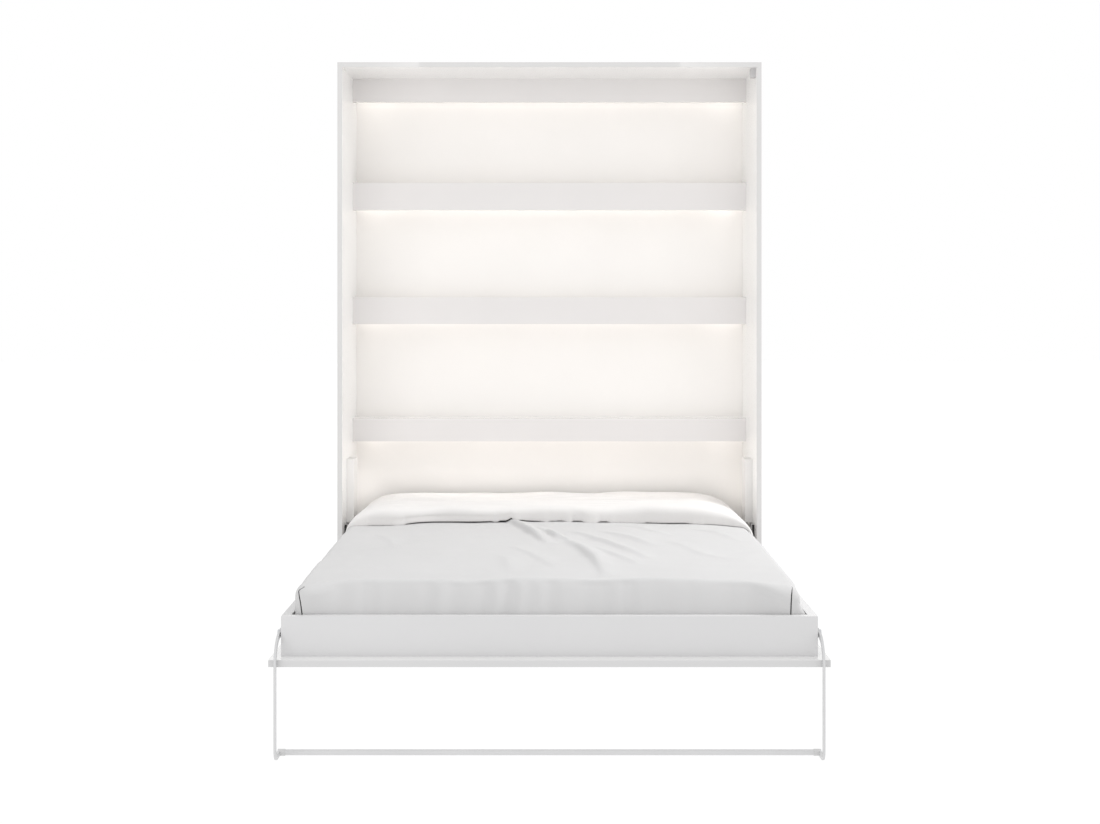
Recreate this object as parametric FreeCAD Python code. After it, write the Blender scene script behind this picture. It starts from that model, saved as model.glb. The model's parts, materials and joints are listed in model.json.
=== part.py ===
import FreeCAD, Part
import math
import os

V = FreeCAD.Vector
os.makedirs("parts", exist_ok=True)

# Frame: millimetres, +Z up, +Y towards the wall behind the bed, +X to the right
# seen from the room. Origin: floor level, middle of the cabinet's rear face.
# The bed is modelled lowered, standing on its leg.

# ---- driving dimensions -------------------------------------------------
CAB_W = 1580.0        # cabinet outside width
CAB_H = 2150.0        # cabinet height
CAB_D = 460.0         # cabinet depth
T = 18.0              # cabinet board
BACK_T = 4.0          # back sheet
IN_W = CAB_W / 2 - T  # half inner width, 772

PIV_Y = -CAB_D + 100.0   # bed pivot, 100 behind the cabinet front
PIV_Z = 354.0

PANEL_HALF = 768.0       # front panel half width, 4 gap each side
PANEL_Z0 = 256.0         # underside of the lowered front panel
PANEL_T = 20.0
PANEL_Y0 = -2113.0       # foot edge
PANEL_Y1 = -104.0        # head edge, lower edge when the bed is up

BOX_HALF = 740.0         # outside of the bed box
RAIL_T = 25.0
BOX_Z0 = PANEL_Z0 + PANEL_T
BOX_Z1 = 387.0
FOOT_Y0 = -2068.0        # front of the foot board
FOOT_Y1 = FOOT_Y0 + 25.0
HEAD_Y0 = -40.0
HEAD_Y1 = -22.0

FASCIA_Y0 = -131.0       # front of the four horizontal fascia boards
FASCIA_Y1 = FASCIA_Y0 + T
FASCIAS = [(2042.0, 2132.0), (1618.0, 1725.0), (1171.0, 1276.0), (711.0, 801.0)]

LEG_P = (-2020.0, 332.5)  # leg pivot
LEG_X0, LEG_X1 = 744.0, 750.0
LEG_W = 15.0              # bar depth seen from the side
LEG_FRONT = -2133.0
LEG_TOP = 340.0
KNEE_R = 80.0
TOE_R = 35.0
CROSS_Y, CROSS_Z = -2058.0, 9.5
CROSS_R = 8.0

SPR_X = 758.5             # plane of the gas springs
SPR_U = (-CAB_D + 185.0, 636.0)     # upper cross bore, on the cabinet
SPR_B = (PIV_Y + 120.0, PIV_Z + 10.0)  # lower eye, on the bed
TUBE_R = 12.0
TUBE_S0, TUBE_S1 = -16.0, 210.0     # tube ends along the spring, from the upper bore
COVER = (743.4, -334.0, -222.0, 420.0, 659.0)   # cover of a spring: inner x, y from, y to, z from, z to
ROD_R = 5.0

MAT_HALF = 700.0
MAT_Y0, MAT_Y1 = -2030.0, -45.0
MAT_Z0, MAT_Z1 = 301.5, 444.0


# ---- helpers ------------------------------------------------------------
def box(x0, x1, y0, y1, z0, z1):
    return Part.makeBox(x1 - x0, y1 - y0, z1 - z0, V(x0, y0, z0))


def xcyl(r, x0, x1, y, z):
    return Part.makeCylinder(r, x1 - x0, V(x0, y, z), V(1, 0, 0))


def ycyl(r, y0, y1, x, z):
    return Part.makeCylinder(r, y1 - y0, V(x, y0, z), V(0, 1, 0))


def mirror(s):
    return s.mirror(V(0, 0, 0), V(1, 0, 0))


def fillet(s, r, pick):
    edges = [e for e in s.Edges if pick(e)]
    return s.makeFillet(r, edges) if edges else s


def along_x(e):
    a, b = e.Vertexes[0].Point, e.Vertexes[-1].Point
    return abs(a.y - b.y) < 1e-6 and abs(a.z - b.z) < 1e-6 and abs(a.x - b.x) > 1e-6


def put(name, *solids):
    out = []
    for s in solids:
        out.extend(s.Solids)
    shape = out[0] if len(out) == 1 else Part.makeCompound(out)
    for s in out:
        assert s.isValid(), name
    shape.exportStep("parts/%s.step" % name)
    print("%-22s %2d solid(s) %10.1f cm3" % (name, len(out), sum(s.Volume for s in out) / 1000))


# ---- cabinet boards -------------------------------------------------------
side = box(IN_W, CAB_W / 2, -CAB_D, 0, 0, CAB_H)
top = box(-IN_W, IN_W, -CAB_D, 0, CAB_H - T, CAB_H)
rear_rail = box(-IN_W, IN_W, -T, 0, 0, 80)
back = box(-IN_W, IN_W, -BACK_T, 0, 80, CAB_H - T)
plinth = box(-IN_W, IN_W, -CAB_D + 2, -CAB_D + 18, 0, 86)
fascias = [box(-IN_W, IN_W, FASCIA_Y0, FASCIA_Y1, a, b) for a, b in FASCIAS]
shelves = [box(-IN_W, IN_W, FASCIA_Y1, -BACK_T, b - T, b) for a, b in FASCIAS[1:]]

# long furniture screws through the side boards into the ends of the cross boards
screws = []
SCREW_AT = [("top", -400, 2141), ("top", -60, 2141), ("plinth", -450, 30), ("plinth", -450, 66),
            ("rear", -9, 25), ("rear", -9, 60),
            ("f0", -122, 2062), ("f0", -122, 2105), ("f1", -122, 1640), ("f1", -122, 1690),
            ("f2", -122, 1195), ("f2", -122, 1245), ("f3", -122, 728), ("f3", -122, 770),
            ("s0", -50, 1716), ("s1", -50, 1267), ("s2", -50, 792)]
ends = {"top": top, "plinth": plinth, "rear": rear_rail}
for i in range(4):
    ends["f%d" % i] = fascias[i]
for i in range(3):
    ends["s%d" % i] = shelves[i]
for key, y, z in SCREW_AT:
    hole = xcyl(3.55, 740, 791, y, z)
    side = side.cut(hole.fuse(xcyl(5.05, 786.5, 791, y, z)))
    ends[key] = ends[key].cut(hole).cut(mirror(hole))
    sc = xcyl(3.5, 741, 787, y, z).fuse(xcyl(5.0, 786.6, 789.8, y, z))
    drive = xcyl(2.0, 788.0, 790, y, z)
    sc = sc.removeSplitter().cut(drive)
    screws += [sc, mirror(sc)]

# ---- wall brackets at the top, behind the upper fascia --------------------
WALL_X, WALL_Z, WALL_R = 500.0, 2096.0, 4.5
wall_brackets, wall_screws = [], []
for sx in (-1, 1):
    x = sx * WALL_X
    b = box(x - 20, x + 20, -64, -BACK_T, 2129, 2132).fuse(box(x - 20, x + 20, -7, -BACK_T, 2070, 2132))
    b = b.removeSplitter()
    b = fillet(b, 2.5, lambda e: along_x(e) and abs(e.Vertexes[0].Point.y + 7) < 0.01
               and abs(e.Vertexes[0].Point.z - 2129) < 0.01)
    b = b.cut(ycyl(WALL_R, -10, 1, x, WALL_Z))
    for dx in (-11, 11):
        up = Part.makeCylinder(2.05, 20, V(x + dx, -44, 2125))
        b = b.cut(up)
        ends["top"] = ends["top"].cut(Part.makeCylinder(2.05, 15, V(x + dx, -44, 2130)))
        s = Part.makeCylinder(2.0, 14, V(x + dx, -44, 2129)).fuse(
            Part.makeCylinder(4.0, 2.2, V(x + dx, -44, 2126.8)))
        wall_screws.append(s.removeSplitter())
    wall_brackets.append(b)
    back = back.cut(ycyl(WALL_R, -10, 1, x, WALL_Z))

# ---- pivot plates, black front strips, shoulder pins -------------------------
PLATE_Y0, PLATE_Y1 = PIV_Y - 26, PIV_Y + 40
plate = box(764, 772, PLATE_Y0, PLATE_Y1, PIV_Z - 60, PIV_Z + 60)
plate = fillet(plate, 8, lambda e: along_x(e) and abs(e.Vertexes[0].Point.y - PLATE_Y1) < 0.01)
plate = plate.cut(xcyl(8.02, 760, 775, PIV_Y, PIV_Z))
plate_screws = []
for dy in (-13, 27):
    for z in (PIV_Z - 44, PIV_Z + 44):
        y = PIV_Y + dy
        plate = plate.cut(xcyl(3.05, 760, 775, y, z)).cut(xcyl(5.55, 760, 767.3, y, z))
        side = side.cut(xcyl(3.05, 771, 786, y, z))
        s = xcyl(3.0, 767, 785, y, z).fuse(xcyl(5.5, 764.8, 767.3, y, z)).removeSplitter()
        s = s.cut(xcyl(2.0, 764, 766.3, y, z))
        plate_screws += [s, mirror(s)]
pin = xcyl(8.0, 717, 772, PIV_Y, PIV_Z).fuse(xcyl(12.0, 746.5, 764, PIV_Y, PIV_Z)).removeSplitter()
strip = box(764, 772, PLATE_Y0 - 3, PLATE_Y0, PIV_Z - 56, PIV_Z + 63)
strip = strip.fuse(box(764, 772, PLATE_Y0, PLATE_Y0 + 9, PIV_Z + 60, PIV_Z + 63)).removeSplitter()

# ---- gas spring anchors, let flush into the side boards, and covers ----------
uy, uz = SPR_U
anchor = xcyl(20.0, IN_W, IN_W + 3, uy, uz)
side = side.cut(xcyl(20.05, IN_W - 1, IN_W + 3, uy, uz))
anchor = anchor.fuse(xcyl(5.0, 746.0, IN_W, uy, uz)).removeSplitter()
spring_screws = []
for dz in (-13, 13):
    y, z = uy, uz + dz
    anchor = anchor.cut(xcyl(2.55, 770, 776, y, z)).cut(xcyl(4.05, 770, 773.4, y, z))
    side = side.cut(xcyl(2.55, 774, 787, y, z))
    s = xcyl(2.5, 773, 786, y, z).fuse(xcyl(4.0, 772.3, 773.4, y, z)).removeSplitter()
    spring_screws += [s, mirror(s)]
cx, cy0, cy1, cz0, cz1 = COVER
cover = box(cx, IN_W, cy0, cy1, cz0, cz1)
cover = fillet(cover, 1.5, lambda e: abs(e.Vertexes[0].Point.x - cx) < 0.01 and abs(e.Vertexes[-1].Point.x - cx) < 0.01
               and (abs(e.Vertexes[0].Point.y - e.Vertexes[-1].Point.y) > 1 or abs(e.Vertexes[0].Point.z - e.Vertexes[-1].Point.z) > 1)
               and not (abs(e.Vertexes[0].Point.z - cz0) < 0.01 and abs(e.Vertexes[-1].Point.z - cz0) < 0.01))
cover = cover.cut(box(cx + 2, IN_W + 1, cy0 + 2.5, cy1 - 2.5, cz0 - 1, cz1 - 2.5))
for z in (cz0 + 16, cz1 - 16):
    tab = box(IN_W - 2.5, IN_W, cy1 - 1, cy1 + 15, z - 8, z + 8)
    tab = fillet(tab, 3, lambda e: along_x(e) and abs(e.Vertexes[0].Point.y - cy1 - 15) < 0.01)
    cover = cover.fuse(tab).removeSplitter()
    y = cy1 + 7.5
    cover = cover.cut(xcyl(2.05, 765, 775, y, z))
    side = side.cut(xcyl(2.05, 771, 784, y, z))
    s = xcyl(2.0, IN_W - 2.5, 783, y, z).fuse(xcyl(3.8, IN_W - 4.5, IN_W - 2.5, y, z)).removeSplitter()
    spring_screws += [s, mirror(s)]

# ---- lighting: channel, strip and diffuser behind each fascia ---------------
channels, strips, diffusers = [], [], []
for a, b in FASCIAS:
    z = a + 4
    ch = box(-765, 765, FASCIA_Y1, FASCIA_Y1 + 12, z, z + 11)
    ch = ch.cut(box(-766, 766, FASCIA_Y1 + 1.5, FASCIA_Y1 + 10.5, z - 1, z + 9))
    channels.append(ch)
    strips.append(box(-764, 764, FASCIA_Y1 + 2.2, FASCIA_Y1 + 9.8, z + 7.8, z + 9))
    diffusers.append(box(-765, 765, FASCIA_Y1 + 1.55, FASCIA_Y1 + 10.45, z, z + 1.8))

driver = box(250, 410, -96, -42, 2104, 2132)
driver = fillet(driver, 2.5, lambda e: abs(e.Vertexes[0].Point.z - 2104) < 0.01 and abs(e.Vertexes[-1].Point.z - 2104) < 0.01)
inlet = box(399, 411, -77, -61, 2114, 2122)
inlet = fillet(inlet, 3.6, lambda e: along_x(e))
driver = driver.cut(inlet)
inlet_pins = [xcyl(1.2, 399, 408, -69 + dy, 2118) for dy in (-4.3, 4.3)]
driver = driver.fuse(inlet_pins[0]).fuse(inlet_pins[1]).removeSplitter()
sensor = box(754, 772, -434, -394, 2098, 2132)
sensor = fillet(sensor, 2.0, lambda e: abs(e.Vertexes[0].Point.x - 754) < 0.01 and abs(e.Vertexes[-1].Point.x - 754) < 0.01)
sensor = sensor.cut(ycyl(4.0, -435, -433, 763, 2112))

put("side_panel_right", side)
put("side_panel_left", mirror(side))
put("top_panel", ends["top"])
put("back_panel", back)
put("rear_rail", ends["rear"])
put("plinth_board", ends["plinth"])
for i in range(4):
    put("fascia_%d" % (i + 1), ends["f%d" % i])
for i in range(3):
    put("shelf_%d" % (i + 2), ends["s%d" % i])
put("cabinet_screws", *screws)
put("wall_brackets", *wall_brackets)
put("wall_bracket_screws", *wall_screws)
put("pivot_plate_right", plate)
put("pivot_plate_left", mirror(plate))
put("pivot_plate_screws", *plate_screws)
put("pivot_pins", pin, mirror(pin))
put("pivot_plate_strips", strip, mirror(strip))
put("spring_anchor_right", anchor)
put("spring_anchor_left", mirror(anchor))
put("spring_side_screws", *spring_screws)
put("spring_covers", cover, mirror(cover))
put("led_channels", *channels)
put("led_strips", *strips)
put("led_diffusers", *diffusers)
put("led_driver", driver)
put("closed_sensor", sensor)

# ---- bed: panel, box, slatted base -----------------------------------------
panel = box(-PANEL_HALF, PANEL_HALF, PANEL_Y0, PANEL_Y1, PANEL_Z0, PANEL_Z0 + PANEL_T)
rail = box(BOX_HALF - RAIL_T, BOX_HALF, FOOT_Y1, HEAD_Y0, BOX_Z0, BOX_Z1)
foot = box(-BOX_HALF, BOX_HALF, FOOT_Y0, FOOT_Y1, BOX_Z0, BOX_Z1)
head = box(-BOX_HALF, BOX_HALF, HEAD_Y0, HEAD_Y1, BOX_Z0, BOX_Z1)
rail = rail.cut(xcyl(12.05, 700, 745, PIV_Y, PIV_Z))
rail = rail.cut(xcyl(5.05, 700, 745, *LEG_P))

hinge = box(BOX_HALF, BOX_HALF + 4, PIV_Y - 55, PIV_Y + 160, 294, 384)
hinge = fillet(hinge, 14, lambda e: along_x(e))
hinge = hinge.cut(xcyl(12.05, 730, 750, PIV_Y, PIV_Z))
hinge_bolts = []
for y, z in ((PIV_Y - 38, 310), (PIV_Y - 38, 368), (PIV_Y + 58, 310), (PIV_Y + 58, 368), (PIV_Y + 142, 310)):
    hinge = hinge.cut(xcyl(3.05, 730, 750, y, z))
    rail = rail.cut(xcyl(3.05, 700, 745, y, z))
    s = xcyl(3.0, 716, 744, y, z).fuse(xcyl(6.0, 744, 747, y, z)).removeSplitter()
    s = s.cut(xcyl(2.2, 745, 748, y, z))
    hinge_bolts += [s, mirror(s)]
bush = xcyl(12.0, 715.5, 744, PIV_Y, PIV_Z).fuse(xcyl(17.0, 744, 746, PIV_Y, PIV_Z)).removeSplitter()
bush = bush.cut(xcyl(8.06, 700, 760, PIV_Y, PIV_Z))

corner_screws = []
for y, t in ((FOOT_Y0, 1), (HEAD_Y1, -1)):
    for z in (300.0, 362.0):
        x = BOX_HALF - 12.5
        y0, y1 = (y - 1, y + 60) if t > 0 else (y - 60, y + 1)
        hole = ycyl(3.55, y0, y1, x, z)
        rail = rail.cut(hole)
        if t > 0:
            # the foot board is screwed from a blind pocket behind, its face stays clean
            foot = foot.cut(ycyl(3.55, FOOT_Y1 - 15, FOOT_Y1 + 1, x, z)).cut(
                mirror(ycyl(3.55, FOOT_Y1 - 15, FOOT_Y1 + 1, x, z)))
            s = ycyl(3.5, FOOT_Y1 - 14.5, FOOT_Y1 + 34, x, z)
        else:
            head = head.cut(hole).cut(mirror(hole))
            s = ycyl(3.5, y - 48, y - 0.2, x, z)
        corner_screws += [s, mirror(s)]

batten = box(690, 715, FOOT_Y1, HEAD_Y0, BOX_Z0, 288)
beam = box(-22, 22, FOOT_Y1, HEAD_Y0, BOX_Z0, 290.4)
slats, holders = [], []
N_SLATS = 14
for i in range(N_SLATS):
    y = FOOT_Y1 + 60 + i * (HEAD_Y0 - FOOT_Y1 - 120) / (N_SLATS - 1)
    s = box(-707, 707, y - 34, y + 34, 290.5, 298.5)
    s = fillet(s, 2.5, lambda e: along_x(e))
    slats.append(s)
    h = box(688, 713, y - 38, y + 38, 288, 301)
    h = h.cut(box(680, 708, y - 34.2, y + 34.2, 290.4, 298.7))
    holders += [h, mirror(h)]

brackets = []
for y in (-1750, -1400, -1050, -700):
    b = box(740, 764, y - 20, y + 20, 276, 278.5).fuse(box(740, 742.5, y - 20, y + 20, 276, 300)).removeSplitter()
    brackets += [b, mirror(b)]

# ---- bedding ------------------------------------------------------------------
mattress = box(-MAT_HALF, MAT_HALF, MAT_Y0, MAT_Y1, MAT_Z0, MAT_Z1)
mattress = fillet(mattress, 22, lambda e: abs(e.Vertexes[0].Point.x - e.Vertexes[-1].Point.x) < 0.01
                  and abs(e.Vertexes[0].Point.y - e.Vertexes[-1].Point.y) < 0.01)

DUV_HALF, DUV_Y0, DUV_Y1 = 711.0, -2040.0, -62.0
DUV_Z0 = 444.5
FOLD_Y0, FOLD_Y1 = -815.0, -75.0      # the turned-back head end of the duvet


def profile(y, pts):
    """closed section across the bed from its right half, given from the side to the middle"""
    right = [(DUV_HALF, DUV_Z0)] + pts
    left = [(-x, z) for x, z in reversed(right)]
    return Part.makePolygon([V(x, y, z) for x, z in right + left + right[:1]])


MAIN = [(711, 450), (701, 466), (680, 474), (350, 481)]
FOLD_FRONT = [(711, 452), (697, 482), (662, 518), (600, 531), (300, 537)]
FOLD_HEAD = [(711, 450), (697, 470), (662, 489), (600, 498), (300, 503)]
slab = Part.Face(profile(DUV_Y0, MAIN)).extrude(V(0, DUV_Y1 - DUV_Y0, 0))
fold = Part.makeLoft([profile(FOLD_Y0, FOLD_FRONT), profile(FOLD_Y1, FOLD_HEAD)], True, True)
skirt = box(-DUV_HALF, DUV_HALF, DUV_Y0, DUV_Y1, 368, DUV_Z0)
skirt = skirt.cut(box(-MAT_HALF - 0.6, MAT_HALF + 0.6, MAT_Y0 - 0.6, 10, 330, 470))
duvet = slab.fuse(fold).fuse(skirt).removeSplitter()

# ---- leg ----------------------------------------------------------------------
ly, lz = LEG_P
ky, kz = LEG_FRONT + KNEE_R, LEG_TOP - KNEE_R
ty, tz = LEG_FRONT + TOE_R, TOE_R
x0, x1 = LEG_X0, LEG_X1
bar = box(x0, x1, ky, ly, LEG_TOP - LEG_W, LEG_TOP)
knee = xcyl(KNEE_R, x0, x1, ky, kz).cut(xcyl(KNEE_R - LEG_W, x0 - 1, x1 + 1, ky, kz))
knee = knee.common(box(x0, x1, ky - KNEE_R - 1, ky, kz, kz + KNEE_R + 1))
shank = box(x0, x1, LEG_FRONT, LEG_FRONT + LEG_W, tz, kz)
toe = xcyl(TOE_R, x0, x1, ty, tz).cut(xcyl(TOE_R - LEG_W, x0 - 1, x1 + 1, ty, tz))
toe = toe.common(box(x0, x1, ty - TOE_R - 1, ty, tz - TOE_R - 1, tz))
sole = box(x0, x1, ty, CROSS_Y, 0, LEG_W)
boss = xcyl(9.5, x0, x1, CROSS_Y, CROSS_Z)
eye = xcyl(13.0, x0, x1, ly, lz)
bar = bar.fuse([knee, shank, toe, sole, boss, eye]).removeSplitter()
bar = bar.cut(xcyl(7.52, x0 - 1, x1 + 1, ly, lz))
leg_bush = xcyl(7.5, x0, x1, ly, lz).cut(xcyl(5.06, x0 - 1, x1 + 1, ly, lz))
cross = xcyl(CROSS_R, -x0, x0, CROSS_Y, CROSS_Z).cut(xcyl(CROSS_R - 1.5, -x0 - 1, x0 + 1, CROSS_Y, CROSS_Z))
collar = xcyl(9.5, 730, 744, CROSS_Y, CROSS_Z).cut(xcyl(CROSS_R + 0.02, 720, 750, CROSS_Y, CROSS_Z))
leg_bolt = xcyl(5.0, 712, 756, ly, lz).fuse(xcyl(8.0, 712, 714.8, ly, lz)).fuse(xcyl(9.0, 750.6, 756, ly, lz)).removeSplitter()
leg_bolt = leg_bolt.cut(xcyl(3.0, 753, 757, ly, lz))
washer = xcyl(10.0, 740, 743.6, ly, lz).cut(xcyl(5.05, 739, 745, ly, lz))

put("front_panel", panel)
put("bed_rail_right", rail)
put("bed_rail_left", mirror(rail))
put("foot_board", foot)
put("head_board", head)
put("box_corner_screws", *corner_screws)
put("slat_battens", batten, mirror(batten))
put("centre_beam", beam)
put("slats", *slats)
put("slat_holders", *holders)
put("panel_brackets", *brackets)
put("hinge_plate_right", hinge)
put("hinge_plate_left", mirror(hinge))
put("hinge_plate_bolts", *hinge_bolts)
put("pivot_bushes", bush, mirror(bush))
put("leg_pivot_bolts", leg_bolt, mirror(leg_bolt))
put("leg_washers", washer, mirror(washer))
put("mattress", mattress)
put("duvet", duvet)
put("leg_bar_right", bar)
put("leg_bar_left", mirror(bar))
put("leg_bushes", leg_bush, mirror(leg_bush))
put("leg_crossbar", cross)
put("crossbar_collars", collar, mirror(collar))

# ---- gas springs ----------------------------------------------------------------
by, bz = SPR_B
dy, dz = by - uy, bz - uz
length0 = math.hypot(dy, dz)
D = V(0, dy / length0, dz / length0)
U = V(SPR_X, uy, uz)


def dcyl(r, s0, s1):
    return Part.makeCylinder(r, s1 - s0, U + D * s0, D)


tube = dcyl(TUBE_R, TUBE_S0, TUBE_S1)
tube = tube.makeFillet(1.5, [e for e in tube.Edges if len(e.Vertexes) == 1])
tube = tube.cut(xcyl(5.05, SPR_X - 20, SPR_X + 20, uy, uz))
tube = tube.cut(dcyl(10.0, 14, TUBE_S1 - 12))
tube = tube.cut(dcyl(ROD_R + 0.06, TUBE_S1 - 13, TUBE_S1 + 1))

PISTON0 = 20.0
rod = dcyl(ROD_R, PISTON0, length0 - 9)
piston = dcyl(9.9, PISTON0, PISTON0 + 12)
low_eye = xcyl(11.0, SPR_X - 6.5, SPR_X + 5.3, by, bz)
rod = rod.fuse(piston).fuse(low_eye).removeSplitter()
rod = rod.cut(xcyl(5.03, SPR_X - 10, SPR_X + 10, by, bz))
stud = xcyl(5.0, 744.6, 763.7, by, bz).fuse(xcyl(9.0, 744.6, 747.2, by, bz))
stud = stud.removeSplitter()

put("spring_tube_right", tube)
put("spring_tube_left", mirror(tube))
put("spring_rod_right", rod)
put("spring_rod_left", mirror(rod))
put("spring_stud_right", stud)
put("spring_stud_left", mirror(stud))

# closed length and angles of the springs, for the joints
r_y, r_z = by - PIV_Y, bz - PIV_Z
cy, cz = PIV_Y + r_z, PIV_Z - r_y
length1 = math.hypot(cy - uy, cz - uz)
a0 = math.degrees(math.atan2(by - uy, uz - bz))
a1 = math.degrees(math.atan2(cy - uy, uz - cz))
print("spring open %.2f closed %.2f stroke %.2f swing %.3f deg" % (length0, length1, length1 - length0, a0 - a1))
print("spring direction", tuple(round(c, 6) for c in D))
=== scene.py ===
import json
import math

import bmesh
import bpy
import numpy as np
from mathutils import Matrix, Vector

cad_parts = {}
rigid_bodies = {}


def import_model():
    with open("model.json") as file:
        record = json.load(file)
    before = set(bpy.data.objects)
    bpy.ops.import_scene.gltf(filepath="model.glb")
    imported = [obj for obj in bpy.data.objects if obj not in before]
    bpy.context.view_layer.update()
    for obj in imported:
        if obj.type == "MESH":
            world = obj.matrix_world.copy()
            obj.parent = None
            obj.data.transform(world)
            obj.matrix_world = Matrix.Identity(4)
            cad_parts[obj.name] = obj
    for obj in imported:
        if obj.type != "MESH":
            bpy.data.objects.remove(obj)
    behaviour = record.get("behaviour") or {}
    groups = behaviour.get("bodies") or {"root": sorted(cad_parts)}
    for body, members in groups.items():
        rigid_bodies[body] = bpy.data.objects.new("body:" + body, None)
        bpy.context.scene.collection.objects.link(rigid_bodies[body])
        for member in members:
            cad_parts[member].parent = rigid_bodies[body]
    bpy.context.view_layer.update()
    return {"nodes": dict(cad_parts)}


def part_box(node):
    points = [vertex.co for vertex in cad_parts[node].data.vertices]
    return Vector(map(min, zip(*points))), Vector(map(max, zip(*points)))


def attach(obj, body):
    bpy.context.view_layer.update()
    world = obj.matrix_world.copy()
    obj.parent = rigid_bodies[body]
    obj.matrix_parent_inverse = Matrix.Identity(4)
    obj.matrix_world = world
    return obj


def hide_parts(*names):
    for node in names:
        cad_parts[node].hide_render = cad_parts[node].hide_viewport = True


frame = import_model()
N = frame["nodes"]
scene = bpy.context.scene
rng = np.random.default_rng(7)

# ---------------------------------------------------------------------------
# camera: level, at the picture's height, with a vertical shift only
# ---------------------------------------------------------------------------
cam_data = bpy.data.cameras.new("camera")
cam = bpy.data.objects.new("camera", cam_data)
scene.collection.objects.link(cam)
cam.location = (0.0, -6.640, 1.242)
cam.rotation_euler = (math.radians(90), 0, 0)
cam_data.lens = 54.30
cam_data.sensor_width = 36.0
cam_data.shift_x = 0.0005
cam_data.shift_y = -0.0964
cam_data.clip_start, cam_data.clip_end = 0.05, 60
scene.camera = cam
scene.view_settings.view_transform = "Standard"
scene.view_settings.look = "None"

# ---------------------------------------------------------------------------
# light
# ---------------------------------------------------------------------------
world = bpy.data.worlds.new("studio")
scene.world = world
world.use_nodes = True
bg = world.node_tree.nodes["Background"]
bg.inputs[0].default_value = (1, 1, 1, 1)
bg.inputs[1].default_value = 1.0


def area(name, loc, target, size, power, colour=(1, 1, 1)):
    d = bpy.data.lights.new(name, "AREA")
    d.shape = "RECTANGLE"
    d.size, d.size_y = size
    d.energy = power
    d.color = colour
    o = bpy.data.objects.new(name, d)
    scene.collection.objects.link(o)
    o.location = loc
    o.rotation_euler = (Vector(target) - Vector(loc)).to_track_quat("-Z", "Y").to_euler()
    o.visible_camera = False
    o.visible_glossy = False
    return o


key_light = area("key_top", (3.1, -0.7, 3.9), (0.0, -1.5, 0.5), (1.2, 1.2), 104)
area("fill_front", (2.4, -6.5, 0.9), (0.0, -0.6, 1.3), (3.0, 3.0), 7)
area("bed_wash", (0, -0.150, 0.700), (0, -0.30, 0.45), (1.30, 0.03), 0.85, (1.0, 0.97, 0.94))
area("fill_left", (-2.4, -5.2, 1.3), (0.4, -0.2, 1.95), (2.4, 2.0), 19)

WARM = (1.0, 0.965, 0.925)
niche_lights = []
for i, z_lo in enumerate((2.042, 1.618, 1.171, 0.711)):
    lamp = area("strip_light_%d" % (i + 1), (0, -0.0990, z_lo + 0.006), (0, -0.004, z_lo - 0.060),
                (1.53, 0.008), 0.13 if i == 3 else 0.10, WARM)
    area("strip_glow_%d" % (i + 1), (0, -0.024, z_lo + 0.008), (0, -0.004, z_lo - 0.010), (1.53, 0.006), 0.070, WARM)
    for side in (-1, 1):
        area("strip_end_%d_%s" % (i + 1, "left" if side < 0 else "right"), (side * 0.70, -0.0985, z_lo + 0.006),
             (side * 0.750, -0.004, z_lo - 0.050), (0.10, 0.008), 0.018, WARM)
        niche_lights.append(area("corner_fill_%d_%s" % (i + 1, "left" if side < 0 else "right"), (side * 0.55, -0.500, z_lo - 0.05),
             (side * 0.772, -0.150, z_lo - 0.05), (0.20, 0.34), 0.038, (1.0, 0.98, 0.96)))

# soft light that fills each niche from in front
for i, (z, h, power) in enumerate(((1.880, 0.26, 0.05), (1.450, 0.26, 0.07), (0.985, 0.28, 0.07), (0.625, 0.10, 0.13))):
    niche_lights.append(area("niche_fill_%d" % (i + 1), (0, -0.470, z), (0, -0.004, z - 0.04), (1.50, h), power, (1.0, 0.98, 0.96)))

# the left inner side is the lighter one
side_lights = [area("side_fill", (0.30, -0.420, 1.30), (-0.772, -0.300, 1.30), (0.06, 1.50), 1.1, (1.0, 0.99, 0.98)),
               area("cover_fill", (-0.60, -0.750, 0.60), (-0.758, -0.334, 0.54), (0.06, 0.20), 0.32, (1.0, 0.99, 0.98))]
# soft light in the low corners beside the bedding
low_lights = [area("low_fill_left", (-0.742, -0.095, 0.510), (-0.742, -0.004, 0.510), (0.05, 0.12), 0.033, (1.0, 0.98, 0.96)),
              area("low_fill_right", (0.742, -0.095, 0.510), (0.742, -0.004, 0.510), (0.05, 0.12), 0.019, (1.0, 0.96, 0.90))]

# ---------------------------------------------------------------------------
# materials
# ---------------------------------------------------------------------------


def new_mat(name):
    m = bpy.data.materials.new(name)
    m.use_nodes = True
    nt = m.node_tree
    p = nt.nodes["Principled BSDF"]
    return m, nt, p


def link(nt, a, b):
    nt.links.new(a, b)


def coords(nt, scale=(1, 1, 1)):
    tc = nt.nodes.new("ShaderNodeTexCoord")
    mp = nt.nodes.new("ShaderNodeMapping")
    mp.inputs["Scale"].default_value = scale
    link(nt, tc.outputs["Object"], mp.inputs[0])
    return mp.outputs[0]


def noise(nt, vec, scale, detail=3.0, rough=0.55):
    n = nt.nodes.new("ShaderNodeTexNoise")
    n.inputs["Scale"].default_value = scale
    n.inputs["Detail"].default_value = detail
    n.inputs["Roughness"].default_value = rough
    link(nt, vec, n.inputs["Vector"])
    return n.outputs["Fac"]


def ramp(nt, fac, stops):
    r = nt.nodes.new("ShaderNodeValToRGB")
    el = r.color_ramp.elements
    el[0].position, el[0].color = stops[0][0], (*stops[0][1], 1)
    el[1].position, el[1].color = stops[-1][0], (*stops[-1][1], 1)
    for pos, c in stops[1:-1]:
        e = el.new(pos)
        e.color = (*c, 1)
    link(nt, fac, r.inputs[0])
    return r.outputs["Color"]


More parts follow.
